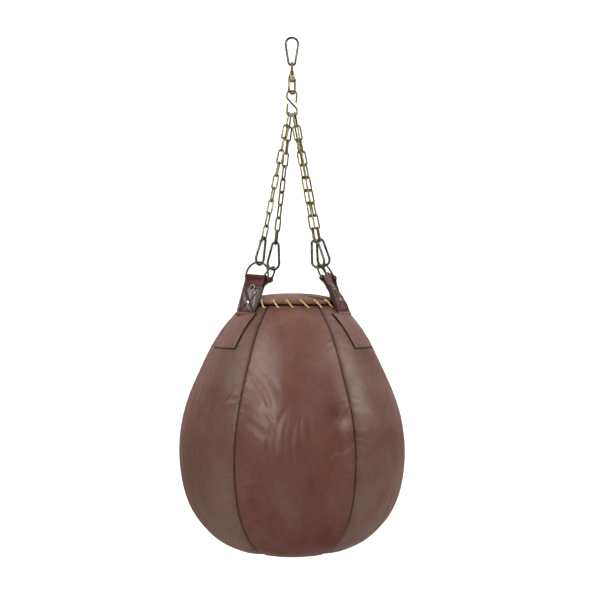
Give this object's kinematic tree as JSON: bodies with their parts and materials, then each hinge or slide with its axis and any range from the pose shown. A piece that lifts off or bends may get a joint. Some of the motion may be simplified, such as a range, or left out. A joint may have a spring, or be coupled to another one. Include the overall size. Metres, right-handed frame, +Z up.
{
  "type": "heavy punching bag",
  "caption": "Pear-shaped stuffed leather heavy bag with a laced padded lid and sewn straps, hung by chains with spring hooks from an S-hook, swivel and top spring hook.",
  "frame": {"origin": "the seat inside the wide bow of the top spring hook, where the bag hangs from its fixing", "axes": "+Z up along the hanging line, -Y towards the front panel, +X to the right as seen from the front"},
  "size_m": [0.4498, 0.4498, 1.017],
  "materials": {
    "ball_leather": "satin",
    "front_leather": "satin",
    "strap_leather": "satin",
    "canvas": "matte",
    "foam": "matte",
    "textile": "matte",
    "lacing": "satin",
    "yellow_zinc": "satin",
    "bronze_wire": "satin",
    "dark_steel": "satin",
    "rivet_steel": "polished"
  },
  "bodies": {
    "top_hook": {"top_hook_body": "dark_steel", "top_hook_pin": "dark_steel"},
    "top_gate": {"top_hook_gate": "dark_steel"},
    "swivel_upper": {"swivel_eye": "yellow_zinc"},
    "swivel_lower": {"swivel_frame": "yellow_zinc"},
    "s_hook": {"s_hook": "yellow_zinc"},
    "hook_front_left": {"spring_hook_body_front_left": "dark_steel", "spring_hook_pin_front_left": "dark_steel"},
    "gate_front_left": {"spring_hook_gate_front_left": "dark_steel"},
    "hook_front_right": {"spring_hook_body_front_right": "dark_steel", "spring_hook_pin_front_right": "dark_steel"},
    "gate_front_right": {"spring_hook_gate_front_right": "dark_steel"},
    "hook_rear_left": {"spring_hook_body_rear_left": "dark_steel", "spring_hook_pin_rear_left": "dark_steel"},
    "gate_rear_left": {"spring_hook_gate_rear_left": "dark_steel"},
    "hook_rear_right": {"spring_hook_body_rear_right": "dark_steel", "spring_hook_pin_rear_right": "dark_steel"},
    "gate_rear_right": {"spring_hook_gate_rear_right": "dark_steel"},
    "bag": {"bottom_disc": "ball_leather", "canvas_liner": "canvas", "cap_padding": "foam", "chain_front_left": "yellow_zinc", "chain_front_right": "yellow_zinc", "chain_rear_left": "yellow_zinc", "chain_rear_right": "yellow_zinc", "d_ring_front_left": "bronze_wire", "d_ring_front_right": "bronze_wire", "d_ring_rear_left": "bronze_wire", "d_ring_rear_right": "bronze_wire", "foam_layer": "foam", "gore_panel_1": "front_leather", "gore_panel_2": "ball_leather", "gore_panel_3": "ball_leather", "gore_panel_4": "ball_leather", "gore_panel_5": "ball_leather", "gore_panel_6": "ball_leather", "lacing_cord": "lacing", "strap_front_left": "strap_leather", "strap_front_right": "strap_leather", "strap_patch_front_left": "ball_leather", "strap_patch_front_right": "ball_leather", "strap_patch_rear_left": "ball_leather", "strap_patch_rear_right": "ball_leather", "strap_rear_left": "strap_leather", "strap_rear_right": "strap_leather", "strap_rivets_front_left": "rivet_steel", "strap_rivets_front_right": "rivet_steel", "strap_rivets_rear_left": "rivet_steel", "strap_rivets_rear_right": "rivet_steel", "textile_filling": "textile", "top_cap": "ball_leather"}
  },
  "joints": [
    {"name": "top_gate_hinge", "type": "hinge", "parent": "top_hook", "child": "top_gate", "pos_m": [0.00738, 0, -0.04362], "axis": [0, -1, 0], "range_deg": [0, 25], "stiffness_Nm_per_rad": 0.05, "springref_deg": -17.19},
    {"name": "swivel_eye_swing", "type": "hinge", "parent": "top_hook", "child": "swivel_upper", "pos_m": [0, 0, -0.0525], "axis": [1, 0, 0], "range_deg": [-75, 75]},
    {"name": "swivel_spin", "type": "hinge", "parent": "swivel_upper", "child": "swivel_lower", "pos_m": [0, 0, -0.085], "axis": [0, 0, 1], "continuous": true},
    {"name": "s_hook_swing", "type": "hinge", "parent": "swivel_lower", "child": "s_hook", "pos_m": [0, 0, -0.10965], "axis": [0.6428, 0.766, 0], "range_deg": [-25, 25]},
    {"name": "bag_swing", "type": "hinge", "parent": "s_hook", "child": "bag", "pos_m": [0, 0, -0.1535], "axis": [1, 0, 0], "range_deg": [-15, 15]},
    {"name": "hook_turn_front_left", "type": "hinge", "parent": "bag", "child": "hook_front_left", "pos_m": [-0.05588, -0.03588, -0.39915], "axis": [-0.1936, -0.1341, -0.9719], "range_deg": [-12, 12]},
    {"name": "gate_hinge_front_left", "type": "hinge", "parent": "hook_front_left", "child": "gate_front_left", "pos_m": [-0.06176, -0.04286, -0.40584], "axis": [0.798, -0.5978, -0.0765], "range_deg": [0, 25], "stiffness_Nm_per_rad": 0.05, "springref_deg": -17.19},
    {"name": "hook_turn_front_right", "type": "hinge", "parent": "bag", "child": "hook_front_right", "pos_m": [0.04403, -0.02445, -0.4039], "axis": [0.1624, -0.0891, -0.9827], "range_deg": [-12, 12]},
    {"name": "gate_hinge_front_right", "type": "hinge", "parent": "hook_front_right", "child": "gate_front_right", "pos_m": [0.05226, -0.02766, -0.41098], "axis": [0.3409, 0.9396, -0.0289], "range_deg": [0, 25], "stiffness_Nm_per_rad": 0.05, "springref_deg": -17.19},
    {"name": "hook_turn_rear_left", "type": "hinge", "parent": "bag", "child": "hook_rear_left", "pos_m": [-0.03189, 0.01846, -0.40612], "axis": [-0.1156, 0.0656, -0.9911], "range_deg": [-12, 12]},
    {"name": "gate_hinge_rear_left", "type": "hinge", "parent": "hook_rear_left", "child": "gate_rear_left", "pos_m": [-0.03967, 0.02175, -0.41365], "axis": [-0.3737, -0.9274, -0.0178], "range_deg": [0, 25], "stiffness_Nm_per_rad": 0.05, "springref_deg": -17.19},
    {"name": "hook_turn_rear_right", "type": "hinge", "parent": "bag", "child": "hook_rear_right", "pos_m": [0.05732, 0.03277, -0.39929], "axis": [0.1991, 0.1218, -0.9724], "range_deg": [-12, 12]},
    {"name": "gate_hinge_rear_right", "type": "hinge", "parent": "hook_rear_right", "child": "gate_rear_right", "pos_m": [0.0661, 0.0352, -0.40601], "axis": [-0.2089, 0.9747, 0.0794], "range_deg": [0, 25], "stiffness_Nm_per_rad": 0.05, "springref_deg": -17.19}
  ]
}
